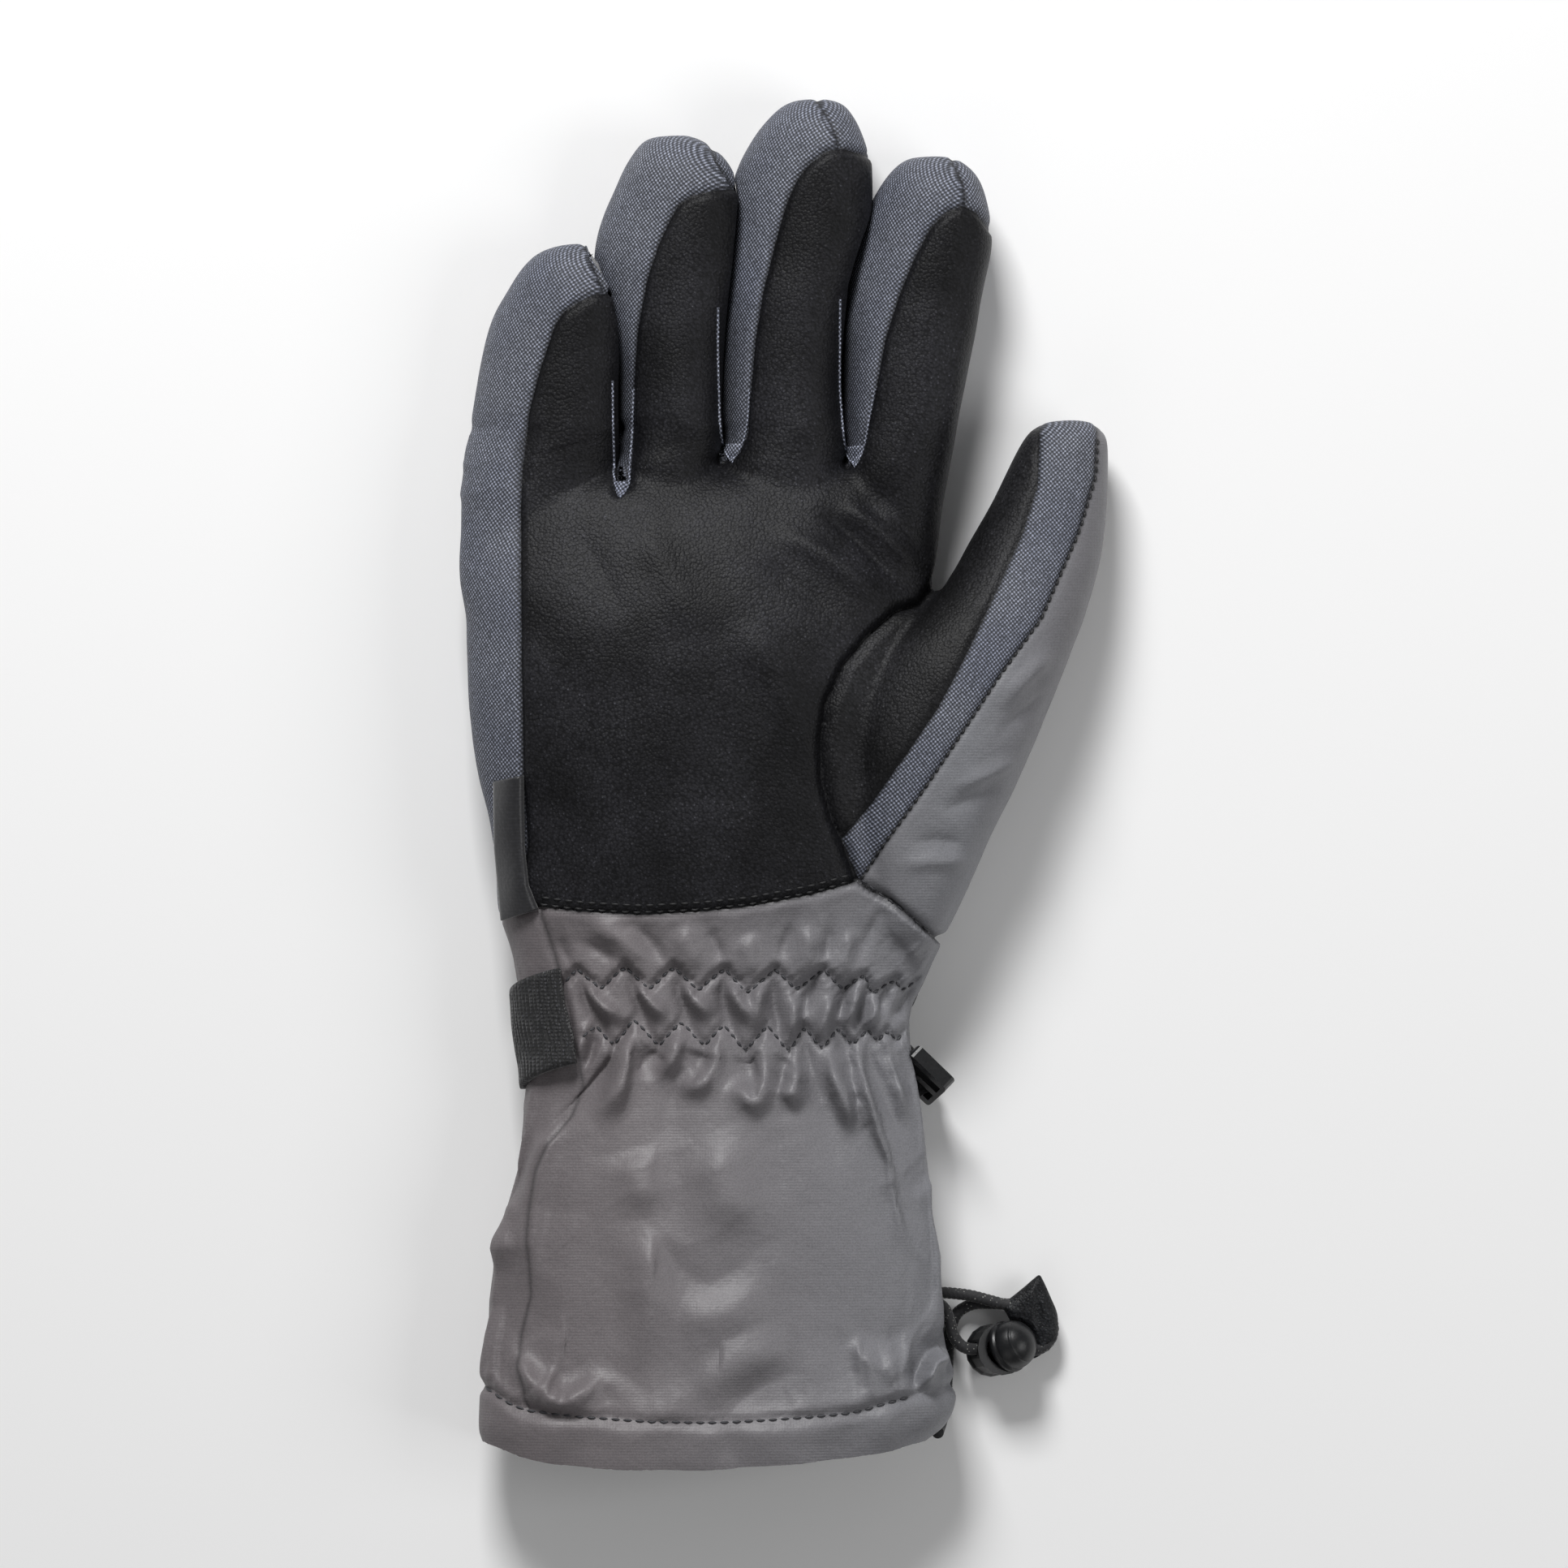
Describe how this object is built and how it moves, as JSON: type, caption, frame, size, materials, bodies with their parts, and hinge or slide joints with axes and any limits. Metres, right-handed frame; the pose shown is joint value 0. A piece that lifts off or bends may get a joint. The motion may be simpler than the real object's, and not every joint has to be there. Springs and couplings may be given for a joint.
{
  "type": "winter sports glove",
  "caption": "Right-hand insulated gauntlet glove lying palm up, with a gathered wrist, a strap and buckle, and a drawcord hem with a cord lock.",
  "frame": {"origin": "centre of the glove in plan, on the flat back of the hand that rests on the table, without the loose cord and what is on it", "axes": "+Z out of the palm, +Y from the hem to the fingertips, +X towards the thumb"},
  "size_m": [0.141, 0.2934, 0.037],
  "materials": {
    "pebbled_sheet": "pebbled PU sheet, soft sheen",
    "oxford_cloth": "blue-grey basket-weave oxford cloth",
    "grey_nylon": "plain taffeta nylon with a faint sheen",
    "fleece_lining": "dull brushed fleece",
    "elastic_band": "woven elastic, matt",
    "ribbed_webbing": "ribbed webbing, matt",
    "satin_label": "plain satin tape, blank",
    "braided_cord": "braided polyester cord",
    "moulded_plastic": "moulded plastic, satin",
    "spring_steel": "drawn wire"
  },
  "bodies": {
    "hand": {"palm_panel": "pebbled_sheet", "hand_back": "grey_nylon", "side_panel": "oxford_cloth", "web_gusset_little_ring": "oxford_cloth", "web_gusset_ring_middle": "oxford_cloth", "web_gusset_middle_index": "oxford_cloth", "thumb_base_palm": "pebbled_sheet", "thumb_base_strip": "oxford_cloth", "thumb_base_back": "grey_nylon", "hand_lining": "fleece_lining", "cuff_palm": "grey_nylon", "cuff_back": "grey_nylon", "cuff_lining": "fleece_lining", "upper_elastic": "elastic_band", "lower_elastic": "elastic_band", "hem_band": "grey_nylon", "drawcord_in_hem": "braided_cord", "wrist_strap": "ribbed_webbing", "side_label": "satin_label", "buckle_loop": "ribbed_webbing", "drawcord_loop": "braided_cord", "pull_tab": "pebbled_sheet"},
    "little_finger": {"little_front": "pebbled_sheet", "little_ulnar_wall": "oxford_cloth", "little_radial_wall": "oxford_cloth", "little_back": "grey_nylon", "little_lining": "fleece_lining"},
    "ring_finger": {"ring_front": "pebbled_sheet", "ring_ulnar_wall": "oxford_cloth", "ring_radial_wall": "oxford_cloth", "ring_back": "grey_nylon", "ring_lining": "fleece_lining"},
    "middle_finger": {"middle_front": "pebbled_sheet", "middle_ulnar_wall": "oxford_cloth", "middle_radial_wall": "oxford_cloth", "middle_back": "grey_nylon", "middle_lining": "fleece_lining"},
    "index_finger": {"index_front": "pebbled_sheet", "index_ulnar_wall": "oxford_cloth", "index_radial_wall": "oxford_cloth", "index_back": "grey_nylon", "index_lining": "fleece_lining"},
    "thumb": {"thumb_front": "pebbled_sheet", "thumb_strip": "oxford_cloth", "thumb_back": "grey_nylon", "thumb_lining": "fleece_lining"},
    "buckle": {"ladder_lock": "moulded_plastic"},
    "cord_lock": {"cord_lock_body": "moulded_plastic", "cord_lock_spring": "spring_steel"},
    "lock_button": {"cord_lock_button": "moulded_plastic"}
  },
  "joints": [
    {"name": "little_flex", "type": "hinge", "parent": "hand", "child": "little_finger", "pos_m": [-0.05311, 0.07048, 0.0178], "axis": [1, 0, 0], "range_deg": [0, 70]},
    {"name": "ring_flex", "type": "hinge", "parent": "hand", "child": "ring_finger", "pos_m": [-0.02401, 0.07779, 0.0178], "axis": [1, 0, 0], "range_deg": [0, 70]},
    {"name": "middle_flex", "type": "hinge", "parent": "hand", "child": "middle_finger", "pos_m": [0.00079, 0.07779, 0.0178], "axis": [1, 0, 0], "range_deg": [0, 70]},
    {"name": "index_flex", "type": "hinge", "parent": "hand", "child": "index_finger", "pos_m": [0.02399, 0.07571, 0.0178], "axis": [1, 0, 0], "range_deg": [0, 70]},
    {"name": "thumb_flex", "type": "hinge", "parent": "hand", "child": "thumb", "pos_m": [0.05065, 0.04277, 0.018], "axis": [0.9135, -0.4067, 0], "range_deg": [0, 40]},
    {"name": "buckle_tilt", "type": "hinge", "parent": "hand", "child": "buckle", "pos_m": [0.02999, -0.06195, 0.005], "axis": [-0.2079, 0.9781, 0], "range_deg": [0, 35]},
    {"name": "cord_lock_slide", "type": "slide", "parent": "hand", "child": "cord_lock", "axis": [0.9544, -0.025, -0.2974], "range_m": [-0.002, 0]},
    {"name": "button_press", "type": "slide", "parent": "cord_lock", "child": "lock_button", "axis": [-0.2985, -0.08, -0.9511], "range_m": [0, 0.0012], "stiffness_N_per_m": 1500, "springref_m": -0.0008, "deforming": ["cord_lock_spring"]}
  ]
}
